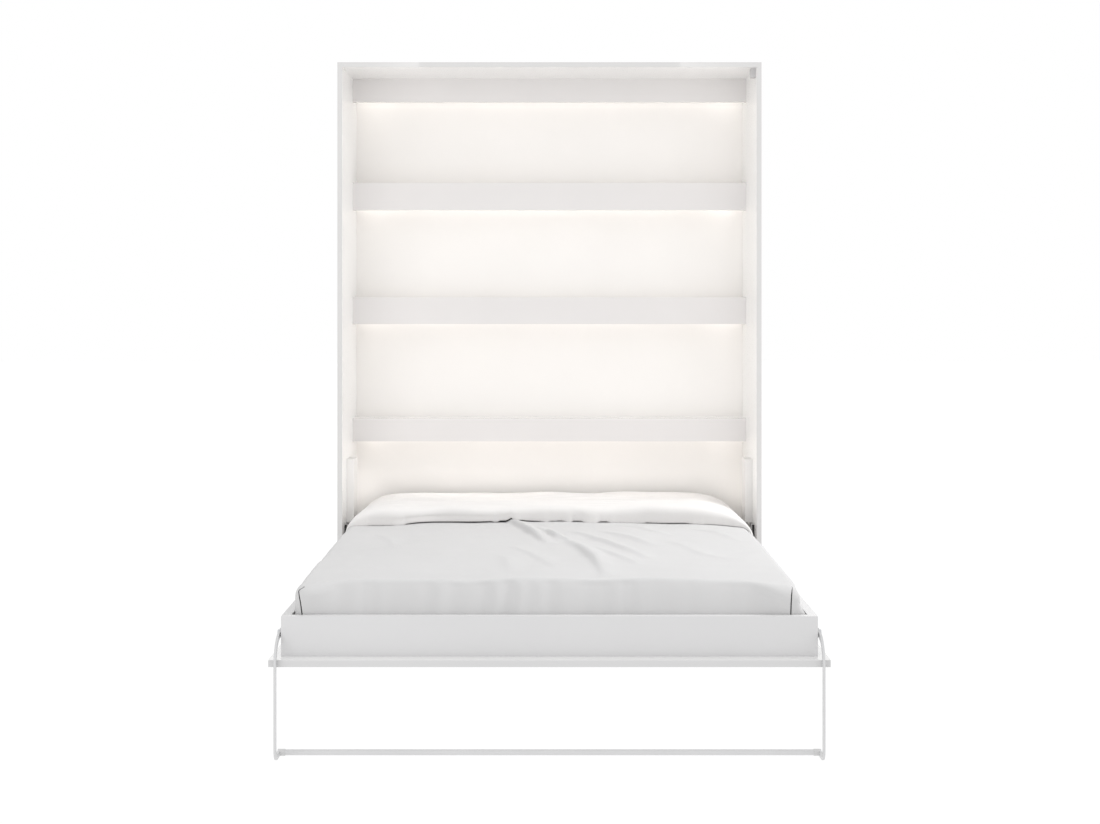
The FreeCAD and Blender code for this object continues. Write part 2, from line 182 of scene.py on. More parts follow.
def maprange(nt, fac, lo, hi, a, b):
    r = nt.nodes.new("ShaderNodeMapRange")
    r.inputs["From Min"].default_value = lo
    r.inputs["From Max"].default_value = hi
    r.inputs["To Min"].default_value = a
    r.inputs["To Max"].default_value = b
    link(nt, fac, r.inputs["Value"])
    return r.outputs["Result"]


def bump(nt, height, strength, distance, normal=None):
    b = nt.nodes.new("ShaderNodeBump")
    b.inputs["Strength"].default_value = strength
    b.inputs["Distance"].default_value = distance
    link(nt, height, b.inputs["Height"])
    if normal is not None:
        link(nt, normal, b.inputs["Normal"])
    return b.outputs["Normal"]


def tint(c, k):
    return tuple(min(1.0, max(0.0, v * k)) for v in c)


def board(name, colour, rough=0.34, coat=0.0, var=0.012, pearl=0.0004, y_face_shade=None):
    """melamine-faced board: even colour with a faint cloudy variation and a fine pearl texture; y_face_shade is a
    greyer colour
    painted on the faces that look along Y: painted shade that keeps the front edges darker than the lit inner faces"""
    m, nt, p = new_mat(name)
    v = coords(nt)
    cloud = noise(nt, v, 3.0, 2.0)
    face = ramp(nt, cloud, [(0.3, tint(colour, 1 - var)), (0.7, tint(colour, 1 + var))])
    if y_face_shade is not None:
        # painted shade: faces whose normal runs along Y take the greyer y_face_shade colour instead of the board's own
        tc = nt.nodes.new("ShaderNodeTexCoord")
        sep = nt.nodes.new("ShaderNodeSeparateXYZ")
        link(nt, tc.outputs["Normal"], sep.inputs[0])
        size = nt.nodes.new("ShaderNodeMath")
        size.operation = "ABSOLUTE"
        link(nt, sep.outputs["Y"], size.inputs[0])
        edge = ramp(nt, cloud, [(0.3, tint(y_face_shade, 1 - var)), (0.7, tint(y_face_shade, 1 + var))])
        mix = nt.nodes.new("ShaderNodeMix")
        mix.data_type = "RGBA"
        link(nt, maprange(nt, size.outputs[0], 0.80, 0.95, 0.0, 1.0), mix.inputs["Factor"])
        link(nt, face, mix.inputs[6])
        link(nt, edge, mix.inputs[7])
        face = mix.outputs[2]
    link(nt, face, p.inputs["Base Color"])
    grain = noise(nt, v, 620.0, 2.0)
    link(nt, maprange(nt, grain, 0.3, 0.7, rough - 0.03, rough + 0.05), p.inputs["Roughness"])
    link(nt, bump(nt, grain, 0.05, pearl), p.inputs["Normal"])
    p.inputs["Coat Weight"].default_value = coat
    p.inputs["Coat Roughness"].default_value = 0.06
    return m


def metal(name, colour, rough, grain_scale=(1, 1, 1), metallic=1.0, strength=0.12, var=0.05):
    m, nt, p = new_mat(name)
    v = coords(nt, grain_scale)
    n = noise(nt, v, 240.0, 3.0)
    link(nt, ramp(nt, n, [(0.3, tint(colour, 1 - var)), (0.7, tint(colour, 1 + var))]), p.inputs["Base Color"])
    link(nt, maprange(nt, n, 0.3, 0.7, rough - 0.05, rough + 0.08), p.inputs["Roughness"])
    link(nt, bump(nt, n, strength, 0.0003), p.inputs["Normal"])
    p.inputs["Metallic"].default_value = metallic
    return m


def powder(name, colour, rough=0.38):
    """powder coat: small soft orange peel"""
    m, nt, p = new_mat(name)
    v = coords(nt)
    peel = noise(nt, v, 340.0, 1.5)
    slow = noise(nt, v, 9.0, 2.0)
    link(nt, ramp(nt, slow, [(0.3, tint(colour, 0.985)), (0.7, tint(colour, 1.015))]), p.inputs["Base Color"])
    link(nt, maprange(nt, peel, 0.3, 0.7, rough - 0.04, rough + 0.06), p.inputs["Roughness"])
    link(nt, bump(nt, peel, 0.22, 0.0006), p.inputs["Normal"])
    return m


def plastic(name, colour, rough=0.5):
    m, nt, p = new_mat(name)
    v = coords(nt)
    g = noise(nt, v, 900.0, 2.0)
    link(nt, ramp(nt, g, [(0.3, tint(colour, 0.97)), (0.7, tint(colour, 1.03))]), p.inputs["Base Color"])
    link(nt, maprange(nt, g, 0.3, 0.7, rough - 0.05, rough + 0.05), p.inputs["Roughness"])
    link(nt, bump(nt, g, 0.2, 0.0003), p.inputs["Normal"])
    return m


def timber(name, pale, dark, along="Y", rough=0.5):
    """clear wood: rings stretched along the board"""
    m, nt, p = new_mat(name)
    s = {"X": (0.6, 9, 9), "Y": (9, 0.6, 9), "Z": (9, 9, 0.6)}[along]
    v = coords(nt, s)
    w = nt.nodes.new("ShaderNodeTexWave")
    w.wave_type = "RINGS"
    w.inputs["Scale"].default_value = 2.2
    w.inputs["Distortion"].default_value = 5.0
    w.inputs["Detail"].default_value = 3.0
    link(nt, v, w.inputs["Vector"])
    fibre = noise(nt, v, 34.0, 4.0)
    mix = nt.nodes.new("ShaderNodeMath")
    mix.operation = "MULTIPLY_ADD"
    link(nt, w.outputs["Fac"], mix.inputs[0])
    mix.inputs[1].default_value = 0.6
    link(nt, maprange(nt, fibre, 0, 1, 0.0, 0.4), mix.inputs[2])
    link(nt, ramp(nt, mix.outputs[0], [(0.1, pale), (0.9, dark)]), p.inputs["Base Color"])
    link(nt, maprange(nt, fibre, 0.3, 0.7, rough - 0.05, rough + 0.1), p.inputs["Roughness"])
    link(nt, bump(nt, mix.outputs[0], 0.25, 0.0006), p.inputs["Normal"])
    return m


def cloth(name, colour, scale=1500.0, rough=0.88, sheen=0.12, var=0.012, weave=0.0004):
    """plain weave from two crossed waves, over a faint cloudy tone"""
    m, nt, p = new_mat(name)
    v = coords(nt)
    waves = []
    for axis in ("X", "Y"):
        w = nt.nodes.new("ShaderNodeTexWave")
        w.bands_direction = axis
        w.inputs["Scale"].default_value = scale / 6.2832
        w.inputs["Distortion"].default_value = 0.6
        w.inputs["Detail"].default_value = 1.0
        link(nt, v, w.inputs["Vector"])
        waves.append(w.outputs["Fac"])
    mx = nt.nodes.new("ShaderNodeMath")
    mx.operation = "MAXIMUM"
    link(nt, waves[0], mx.inputs[0])
    link(nt, waves[1], mx.inputs[1])
    slub = noise(nt, v, 60.0, 3.0)
    cloud = noise(nt, v, 2.4, 2.0)
    add = nt.nodes.new("ShaderNodeMath")
    add.operation = "MULTIPLY_ADD"
    link(nt, slub, add.inputs[0])
    add.inputs[1].default_value = 0.25
    link(nt, cloud, add.inputs[2])
    link(nt, ramp(nt, add.outputs[0], [(0.35, tint(colour, 1 - var)), (0.85, tint(colour, 1 + var))]), p.inputs["Base Color"])
    link(nt, maprange(nt, slub, 0.3, 0.7, rough - 0.04, rough + 0.04), p.inputs["Roughness"])
    b1 = bump(nt, mx.outputs[0], 0.25, weave)
    link(nt, bump(nt, slub, 0.08, 0.002, b1), p.inputs["Normal"])
    p.inputs["Sheen Weight"].default_value = sheen
    p.inputs["Sheen Roughness"].default_value = 0.5
    return m


def glow(name, colour, strength):
    m, nt, p = new_mat(name)
    v = coords(nt)
    n = noise(nt, v, 40.0, 1.0)
    link(nt, ramp(nt, n, [(0.2, tint(colour, 0.96)), (0.8, colour)]), p.inputs["Base Color"])
    p.inputs["Roughness"].default_value = 0.5
    link(nt, ramp(nt, n, [(0.2, tint(colour, 0.97)), (0.8, colour)]), p.inputs["Emission Color"])
    p.inputs["Emission Strength"].default_value = strength
    return m


M = {
    # the y_face_shade colours of the white boards and the front panel are painted shade on their front edges
    "white": board("board_white", (0.930, 0.922, 0.911), 0.30, y_face_shade=(0.688, 0.682, 0.676)),
        "fascia": board("fascia_gloss", (0.775, 0.753, 0.745), 0.20, coat=0.5),
    "back": board("back_sheet", (0.935, 0.912, 0.888), 0.30, coat=0.2),
    "box": board("box_board", (0.640, 0.636, 0.638), 0.32, y_face_shade=(0.640, 0.637, 0.641)),
    "front": board("front_gloss", (0.90, 0.896, 0.890), 0.22, coat=0.5, y_face_shade=(0.600, 0.598, 0.600)),
    "beam": timber("spruce", (0.70, 0.52, 0.32), (0.55, 0.37, 0.20), "Y", 0.6),
    "slat": timber("birch_slat", (0.74, 0.60, 0.42), (0.62, 0.47, 0.30), "X", 0.42),
    "zinc": metal("zinc", (0.62, 0.63, 0.65), 0.36),
    "steel": metal("bright_steel", (0.55, 0.56, 0.57), 0.28),
    "plate": powder("plate_paint", (0.72, 0.72, 0.715), 0.42),
    "black": plastic("black_plastic", (0.018, 0.018, 0.018), 0.55),
    "cover": plastic("cover_plastic", (0.79, 0.778, 0.765), 0.42),
    "brass": metal("bush_bronze", (0.60, 0.43, 0.20), 0.4),
    "pale": plastic("pale_plastic", (0.76, 0.76, 0.75), 0.45),
    "grey": plastic("grey_plastic", (0.56, 0.55, 0.555), 0.5),
    "alu": metal("anodised", (0.72, 0.72, 0.73), 0.35, (1, 40, 40)),
    "pcb": plastic("strip_board", (0.80, 0.77, 0.68), 0.6),
    "glow": glow("opal_glow", (1.0, 0.93, 0.84), 1.2),
    "leg": powder("leg_paint", (0.61, 0.61, 0.615), 0.36),
    "collar": plastic("collar_grey", (0.60, 0.60, 0.60), 0.5),
    "tube": powder("spring_paint", (0.84, 0.83, 0.82), 0.34),
    "rod": metal("rod_chrome", (0.70, 0.71, 0.73), 0.12),
    "duvet": cloth("duvet_cotton", (0.580, 0.577, 0.578), sheen=0.05),
    # painted light: the turned-back duvet is a lighter, warmer copy of the duvet cotton, standing in for the lamps'
    # light on the bed head
    "fold": cloth("duvet_fold_painted_lit", (0.742, 0.728, 0.718), sheen=0.05),
    # painted shade: near-black cloth on the walls of the foot-corner slits and on the lip under the fold's hem
    "gap_shade": cloth("duvet_painted_gap_shade", (0.030, 0.030, 0.032)),
    "ticking": cloth("mattress_knit", (0.77, 0.765, 0.755), 900.0),
    "tape": cloth("mattress_tape", (0.70, 0.69, 0.68), 2200.0),
}

LOOK = {
    "white": "side_panel_right side_panel_left top_panel rear_rail plinth_board shelf_2 shelf_3 shelf_4",
    "fascia": "fascia_1 fascia_2 fascia_3 fascia_4",
    "back": "back_panel",
    "box": "bed_rail_right bed_rail_left foot_board head_board",
    "front": "front_panel",
    "beam": "slat_battens centre_beam",
    "slat": "slats",
    "zinc": "cabinet_screws wall_brackets wall_bracket_screws pivot_plate_screws spring_side_screws box_corner_screws panel_brackets hinge_plate_bolts leg_pivot_bolts leg_washers",
    "steel": "pivot_pins spring_stud_right spring_stud_left",
    "plate": "hinge_plate_right hinge_plate_left spring_anchor_right spring_anchor_left pivot_plate_right pivot_plate_left",
    "black": "pivot_plate_strips slat_holders",
    "cover": "spring_covers",
    "brass": "pivot_bushes",
    "pale": "leg_bushes led_driver",
    "grey": "closed_sensor",
    "alu": "led_channels",
    "pcb": "led_strips",
    "glow": "led_diffusers",
    "leg": "leg_bar_right leg_bar_left leg_crossbar",
    "collar": "crossbar_collars",
    "tube": "spring_tube_right spring_tube_left",
    "rod": "spring_rod_right spring_rod_left",
}
for key, names in LOOK.items():
    for n in names.split():
        o = N[n]
        o.data.materials.clear()
        o.data.materials.append(M[key])
left = set(N) - {n for names in LOOK.values() for n in names.split()} - {"mattress", "duvet"}
assert not left, left


def soften(names, width, segments=2, angle=40):
    """small rounded edges on the boards: weld the import's split corners, then bevel"""
    for n in names.split():
        o = N[n]
        w = o.modifiers.new("weld", "WELD")
        w.merge_threshold = 0.00002
        b = o.modifiers.new("edge", "BEVEL")
        b.width = width
        b.segments = segments
        b.limit_method = "ANGLE"
        b.angle_limit = math.radians(angle)
        b.harden_normals = True
        b.use_clamp_overlap = True


soften("rear_rail plinth_board fascia_1 fascia_2 fascia_3 fascia_4 shelf_2 shelf_3 shelf_4 foot_board "
       "front_panel bed_rail_right bed_rail_left head_board side_panel_right side_panel_left top_panel", 0.0009)

# ---------------------------------------------------------------------------
# helpers for meshes
# ---------------------------------------------------------------------------


def grid_mesh(name, P, close_u=False, mats=(), smooth=True, face_mat=None):
    """P is an array (rows, columns, 3); makes one quad sheet"""
    r, c = P.shape[:2]
    verts = P.reshape(-1, 3)
    faces, fm = [], []
    for i in range(r - 1):
        for j in range(c - 1 + (1 if close_u else 0)):
            k = (j + 1) % c
            faces.append((i * c + j, i * c + k, (i + 1) * c + k, (i + 1) * c + j))
            if face_mat is not None:
                fm.append(int(face_mat[i, j]))
    me = bpy.data.meshes.new(name)
    me.from_pydata([tuple(v) for v in verts], [], faces)
    for m in mats:
        me.materials.append(m)
    if fm:
        me.polygons.foreach_set("material_index", fm)
    if smooth:
        me.polygons.foreach_set("use_smooth", [True] * len(me.polygons))
    me.update()
    o = bpy.data.objects.new(name, me)
    scene.collection.objects.link(o)
    return o


def sstep(a, b, x):
    t = np.clip((np.asarray(x, float) - a) / (b - a), 0, 1)
    return t * t * (3 - 2 * t)


class Waves:
    """smooth seeded noise from a sum of plane waves"""

    def __init__(self, seed, length, n=18, spread=0.5):
        r = np.random.default_rng(seed)
        ang = r.uniform(0, 2 * math.pi, n)
        k = 2 * math.pi / (length * r.uniform(1 - spread, 1 + spread, n))
        self.kx, self.ky = k * np.cos(ang), k * np.sin(ang)
        self.ph = r.uniform(0, 2 * math.pi, n)
        self.n = n

    def __call__(self, x, y):
        x, y = np.asarray(x, float), np.asarray(y, float)
        out = np.zeros(np.broadcast(x, y).shape)
        for a, b, p in zip(self.kx, self.ky, self.ph):
            out = out + np.sin(a * x + b * y + p)
        return out / math.sqrt(self.n / 2)


def seg_dist(x, y, a, b):
    """signed distance to a segment and the place along it, 0 to 1"""
    ax, ay = a
    dx, dy = b[0] - ax, b[1] - ay
    L = math.hypot(dx, dy)
    t = ((x - ax) * dx + (y - ay) * dy) / (L * L)
    tc = np.clip(t, 0, 1)
    px, py = x - (ax + tc * dx), y - (ay + tc * dy)
    side = (dx * py - dy * px) / L
    return np.hypot(px, py) * np.where(side < 0, -1, 1), tc, t


def crease(x, y, pts, height, steep, soft):
    """a fold running through pts (in the row frame): soft on its left, steep on its right, tapering to its ends"""
    best = np.full(np.broadcast(x, y).shape, 1e9)
    sd = np.zeros_like(best)
    along = np.zeros_like(best)
    lens = [math.hypot(pts[i + 1][0] - pts[i][0], pts[i + 1][1] - pts[i][1]) for i in range(len(pts) - 1)]
    total = sum(lens)
    acc = 0.0
    for i, L in enumerate(lens):
        s, tc, _ = seg_dist(x, y, pts[i], pts[i + 1])
        hit = np.abs(s) < best
        best = np.where(hit, np.abs(s), best)
        sd = np.where(hit, s, sd)
        along = np.where(hit, (acc + tc * L) / total, along)
        acc += L
    taper = np.sin(math.pi * np.clip(along, 0, 1)) ** 0.6
    w = np.where(sd > 0, soft, steep)
    return height * taper * np.exp(-((sd / w) ** 2))


def on_top(px, py, z=0.480):
    """the place on the level plane z that shows at a point of the picture"""
    depth = (1.242 - z) * 1659.2 / (py - 306.0)
    return ((px - 549.5) * depth / 1659.2, -6.640 + depth)


# ---------------------------------------------------------------------------
# duvet
# ---------------------------------------------------------------------------
HEAD_Y, HEM_Y, FOOT_Y = -0.066, -0.800, -2.0400
SIDE_L, SIDE_R = 0.7105, 0.7045
ROLL_L, ROLL_R = 0.030, 0.044
C_FOOT, M_FOOT = 0.046, 0.068
H_L, H_R = 0.034, 0.040
slow = Waves(3, 0.62)
mid = Waves(5, 0.23)

CREASES = [
    ([(507, 520), (516, 525), (531, 534), (548, 545)], 0.0200, 0.011, 0.034),
    ([(536, 527), (547, 534), (562, 544)], 0.0090, 0.011, 0.028),
    ([(545, 534), (556, 539), (570, 543)], 0.0120, 0.011, 0.026),
    ([(566, 541), (582, 551), (594, 561), (606, 576)], 0.0180, 0.014, 0.040),
    ([(568, 531), (588, 537), (614, 545), (652, 559)], 0.0105, 0.014, 0.032),
    ([(597, 531), (628, 538), (656, 546)], 0.0070, 0.013, 0.026),
    ([(584, 547), (606, 553), (640, 566)], 0.0070, 0.013, 0.030),
    ([(668, 541), (700, 552), (735, 559)], 0.0042, 0.015, 0.034),
    ([(612, 525), (640, 529), (668, 536)], 0.0050, 0.011, 0.024),
    ([(690, 528), (716, 532), (742, 541)], 0.0045, 0.013, 0.026),
    ([(512, 547), (534, 556), (556, 569)], 0.0065, 0.014, 0.036),
    ([(500, 556), (508, 562), (512, 574)], 0.0055, 0.018, 0.034),
    ([(378, 533), (392, 541), (398, 552)], 0.0035, 0.013, 0.030),
]
CREASES = [([on_top(*p) for p in pts], h, a, b) for pts, h, a, b in CREASES]


def top_height(x, y):
    """height of the duvet's upper face on the mattress"""
    x, y = np.asarray(x, float), np.asarray(y, float)
    half = np.where(x < 0, SIDE_L - ROLL_L, SIDE_R - ROLL_R)
    q = np.clip(np.abs(x) / half, 0, 1)
    z = 0.4830 - 0.007 * q ** 2 - 0.004 * q ** 8
    z = z + 0.0018 * slow(x, y) + 0.0009 * mid(x, y)
    z = z - 0.0060 * np.clip((-1.850 - y) / 0.120, 0, 1) ** 2
    for pts, h, a, b in CREASES:
        z = z + crease(x, y, pts, h, a, b)
    return z


def side_outline(y, side):
    """half width of the bedding at a place along the bed"""
    y = np.asarray(y, float)
    w = np.clip(Waves(51 if side < 0 else 53, 0.55)(y, 0 * y), -1, 1)
    if side < 0:
        return SIDE_L - 0.0016 - 0.0012 * w
    return SIDE_R - 0.0016 - 0.0012 * w - 0.004 * sstep(-1.90, -2.02, y)


def corner_outline(side):
    """plan outline round a foot corner: (x, y) at a distance from where the side ends"""
    rc, y0 = 0.026, FOOT_Y + C_FOOT
    w = float(side_outline(y0, side))
    xi = (SIDE_L - ROLL_L) if side < 0 else (SIDE_R - ROLL_R)
    run1, arc = C_FOOT - rc, rc * math.pi / 2
    total = run1 + arc + (w - rc - xi)

    def at(s, square=0.0):
        if s < run1:
            return side * w, y0 - s
        if s < run1 + arc:
            a = (s - run1) / rc
            r = rc * (1 + square * (1 / max(math.cos(a), math.sin(a)) - 1))
            return side * (w - rc + r * math.cos(a)), y0 - run1 - r * math.sin(a)
        return side * (w - rc - (s - run1 - arc)), FOOT_Y
    return at, total


# the inner walls of these slits carry the near-black gap_shade cloth, painted shade
# the slits beside the foot drop: place across the bed at a height
SLIT_X = {-1: ([0.375, 0.382, 0.420, 0.451, 0.4555, 0.460], [-0.6845, -0.6850, -0.6905, -0.6970, -0.6905, -0.6820]),
          1: ([0.375, 0.383, 0.420, 0.440, 0.452, 0.462], [0.6690, 0.6690, 0.6702, 0.6718, 0.6748, 0.6800])}
SLIT_W, SLIT_DEEP, N_A, N_B = 0.0016, 0.0075, 9, 7


def duvet_main():
    nx, ny = 250, 300
    xi_l, xi_r = -(SIDE_L - ROLL_L), SIDE_R - ROLL_R
    xs = np.linspace(xi_l, xi_r, nx)
    y_end = FOOT_Y + C_FOOT + (M_FOOT - C_FOOT) * sstep(0.0, 0.16, np.minimum(xs - xi_l, xi_r - xs))
    t = np.linspace(0, 1, ny)
    Y = (HEAD_Y + (FOOT_Y + C_FOOT - HEAD_Y) * t)[:, None] + sstep(0.72, 1.0, t)[:, None] * (y_end - (FOOT_Y + C_FOOT))[None, :]
    X = np.broadcast_to(xs, Y.shape)
    Z = top_height(X, Y)
    top = np.stack([X, Y, Z], 2).reshape(-1, 3)
    faces, mats = [], []
    for i in range(ny - 1):
        for j in range(nx - 1):
            faces.append((i * nx + j, (i + 1) * nx + j, (i + 1) * nx + j + 1, i * nx + j + 1))
            mats.append(0)

    # skirt columns round three sides, from the left head end to the right head end
    kind, rim, arg = [], [], []
    for i in range(ny):
        kind.append(0); rim.append(i * nx); arg.append(Y[i, 0])
    c_l, c_r = (ny - 1) * nx, (ny - 1) * nx + nx - 1
    n_fan = N_A + 4 + N_B
    for m in range(n_fan):
        kind.append(1); rim.append(c_l); arg.append(m)
    for j in range(nx):
        kind.append(2); rim.append((ny - 1) * nx + j); arg.append(xs[j])
    for m in range(n_fan)[::-1]:
        kind.append(3); rim.append(c_r); arg.append(m)
    for i in range(ny - 1, -1, -1):
        kind.append(4); rim.append(i * nx + nx - 1); arg.append(Y[i, -1])
    kind, rim, arg = np.array(kind), np.array(rim), np.array(arg, float)
    Q = top[rim]
    P = Q[:, :2].copy()
    P[kind == 0] = np.column_stack([-side_outline(arg[kind == 0], -1), arg[kind == 0]])
    P[kind == 4] = np.column_stack([side_outline(arg[kind == 4], 1), arg[kind == 4]])
    P[kind == 2] = np.column_stack([arg[kind == 2], np.full((kind == 2).sum(), FOOT_Y)])
    edge = np.minimum(Q[:, 0] - xi_l, xi_r - Q[:, 0])
    H = np.where(kind <= 1, H_L, H_R)
    H = np.where(kind == 2, np.where(Q[:, 0] < 0, H_L, H_R) + 0.018 * sstep(0.0, 0.16, edge), H)
    fans = {}
    for side, kk in ((-1, 1), (1, 3)):
        at, total = corner_outline(side)
        us = np.linspace(0, total, 400)
        px = np.array([at(u)[0] for u in us])
        keep = us > C_FOOT - 0.026
        fans[kk] = (at, total, us[keep], px[keep], side)

    hump, hump2 = Waves(21, 0.085, 16), Waves(23, 0.21, 12)
    x_foot = P[:, 0]
    middle = np.exp(-(((x_foot + 0.10) / 0.25) ** 2))
    fade_x = sstep(0.0, 0.10, edge) * (kind == 2)
    folds = (0.5 + 0.5 * np.clip(hump(x_foot, 0 * x_foot), -1.4, 1.4)) * (0.30 + 0.95 * middle) * 0.0056
    folds = folds + (0.5 + 0.5 * np.clip(hump2(x_foot, 0 * x_foot), -1, 1)) * 0.0024
    n_arc, n_drop, hem = 18, 28, 0.3705
    plane = sstep(0.0, 0.10, edge) * (kind == 2)
    rings, grooves = [], []
    for r in range(1, n_arc + n_drop + 1):
        if r <= n_arc:
            th = r / n_arc * math.pi / 2
            g, k = math.sin(th) ** 0.94, 0.0
            z = Q[:, 2] - H * (1 - math.cos(th))
        else:
            g, k = 1.0, (r - n_arc) / n_drop
            z = (Q[:, 2] - H) * (1 - k) + hem * k
        # away from the corners the foot end slopes down in one soft plane
        tt = r / (n_arc + n_drop)
        c0 = 0.30
        fall = (math.sqrt(tt * tt + c0 * c0) - c0) / (math.sqrt(1 + c0 * c0) - c0)
        z_slope = Q[:, 2] - (Q[:, 2] - hem) * fall
        z = z * (1 - plane) + z_slope * plane
        gg = (g * (1 - plane) + tt ** 0.80 * plane)[:, None]
        out = P.copy()
        groove = {}
        for kk, (at, total, us, px, side) in fans.items():
            cols = np.where(kind == kk)[0]
            z_here = float(z[cols[0]])
            cx = float(Q[cols[0], 0])
            want = cx + (float(np.interp(z_here, *SLIT_X[side])) - cx) / max(g, 0.35)
            order = np.argsort(px)
            u_s = float(np.interp(want, px[order], us[order]))
            u_s = min(max(u_s, 0.012), total - 0.0035)
            u = list(np.linspace(0, u_s - SLIT_W, N_A + 2)[1:])
            u += [u_s - 0.8 * SLIT_W, u_s + 0.8 * SLIT_W]
            u += list(np.linspace(u_s + SLIT_W, total, N_B + 2)[:-1])
            deep = SLIT_DEEP * float(sstep(0.4615, 0.4585, z_here))
            pts = np.array([at(v, 0.85 * float(sstep(0, 0.8, k)) if side > 0 else 0.0) for v in u])
            q2 = Q[cols[0], :2]
            for m in (N_A + 1, N_A + 2):
                d = q2 - pts[m]
                pts[m] = pts[m] + d / np.linalg.norm(d) * deep
            mm = arg[cols].astype(int)
            out[cols] = pts[mm]
            groove[kk] = deep > 0.3 * SLIT_DEEP
        fade = float(sstep(0.15, 0.8, (r / n_arc) if r <= n_arc else 1.0))
        xy = Q[:, :2] + (out - Q[:, :2]) * gg
        xy[:, 1] += fade_x * fade * folds
        xy[:, 0] += (kind == 0) * 0.004 * float(sstep(0, 1, k))
        spread = 0.0085 * float(sstep(0, 0.8, k)) + 0.0058 * float(sstep(0.30, 0.80, k)) * sstep(-1.93, -2.00, xy[:, 1])
        xy[:, 0] += ((kind == 3) | (kind == 4)) * spread * sstep(0.684, 0.699, xy[:, 0])
        rings.append(np.column_stack([xy, z]))
        grooves.append(groove)
    nc, base = len(kind), len(top)
    prev = list(rim)
    for r in range(len(rings)):
        cur = [base + r * nc + j for j in range(nc)]
        for j in range(nc - 1):
            a, b, c, d = prev[j], prev[j + 1], cur[j + 1], cur[j]
            faces.append((a, d, c) if a == b else (a, d, c, b))
            # faces inside a corner slit take material 1, the near-black gap_shade cloth: painted shade
            dark = 0
            if kind[j] == kind[j + 1] and kind[j] in (1, 3) and grooves[r][kind[j]]:
                lo, hi = sorted((arg[j], arg[j + 1]))
                if lo >= N_A and hi <= N_A + 3:
                    dark = 1
            mats.append(dark)
        prev = cur
    return np.concatenate([top] + rings), faces, mats


def mesh_piece(name, verts, faces, face_mats, materials):
    me = bpy.data.meshes.new(name)
    me.from_pydata([tuple(v) for v in verts], [], faces)
    for m in materials:
        me.materials.append(m)
    me.polygons.foreach_set("material_index", face_mats)
    me.polygons.foreach_set("use_smooth", [True] * len(me.polygons))
    me.update()
    o = bpy.data.objects.new(name, me)
    scene.collection.objects.link(o)
    bm = bmesh.new()
    bm.from_mesh(me)
    bmesh.ops.recalc_face_normals(bm, faces=bm.faces)
    up = sum(f.normal.z * f.calc_area() for f in bm.faces)
    if up < 0:
        bmesh.ops.reverse_faces(bm, faces=bm.faces)
    bm.to_mesh(me)
    bm.free()
    return o


DV, DF, DM = duvet_main()
duvet = mesh_piece("duvet_cover", DV, DF, DM, [M["duvet"], M["gap_shade"]])
sol = duvet.modifiers.new("thick", "SOLIDIFY")
sol.thickness = 0.005
sol.offset = -1
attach(duvet, "bed")
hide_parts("duvet")


def cover_z(x, y):
    """height of the cover's outer face, its rolled sides included"""
    x, y = np.asarray(x, float), np.asarray(y, float)
    xi = np.where(x < 0, SIDE_L - ROLL_L, SIDE_R - ROLL_R)
    roll = np.where(x < 0, ROLL_L, ROLL_R) - 0.001
    h = np.where(x < 0, H_L, H_R)
    over = np.clip((np.abs(x) - xi) / roll, 0, 1)
    th = np.arcsin(over ** (1 / 0.94))
    inside = np.sign(x) * np.minimum(np.abs(x), xi)
    return top_height(inside, y) - h * (1 - np.cos(th))


# the turned-back head end of the duvet: a soft band with an open, shadowed hem
GAP = [(-0.740, 0.0), (-0.712, 0.9), (-0.640, 1.1), (-0.613, 2.2), (-0.560, 1.8), (-0.535, 0.7), (-0.508, 0.8), (-0.500, 4.2),
       (-0.470, 5.6), (-0.350, 5.2), (-0.270, 6.6), (-0.203, 6.0), (-0.192, 2.0), (-0.184, 2.0), (-0.178, 8.6), (-0.136, 8.0), (-0.124, 0.6),
       (-0.108, 0.8), (-0.100, 5.0), (-0.060, 5.0), (-0.030, 3.0), (-0.016, 0.0), (-0.002, 0.0), (0.002, 3.6), (0.020, 3.6), (0.026, 0.4),
       (0.032, 4.4), (0.050, 4.0), (0.056, 0.0), (0.076, 0.0), (0.084, 4.2), (0.110, 4.6), (0.124, 1.0), (0.134, 0.0), (0.168, 0.0),
       (0.176, 5.6), (0.200, 5.2), (0.214, 0.8), (0.250, 1.0), (0.330, 1.2), (0.341, 4.4), (0.376, 3.6), (0.430, 4.6), (0.478, 4.2),
       (0.500, 1.0), (0.535, 1.0), (0.560, 2.4), (0.631, 2.2), (0.684, 2.2), (0.716, 1.6)]


FOLD_P = 0.62
FOLD_LOW = math.sin(math.radians(9)) ** FOLD_P


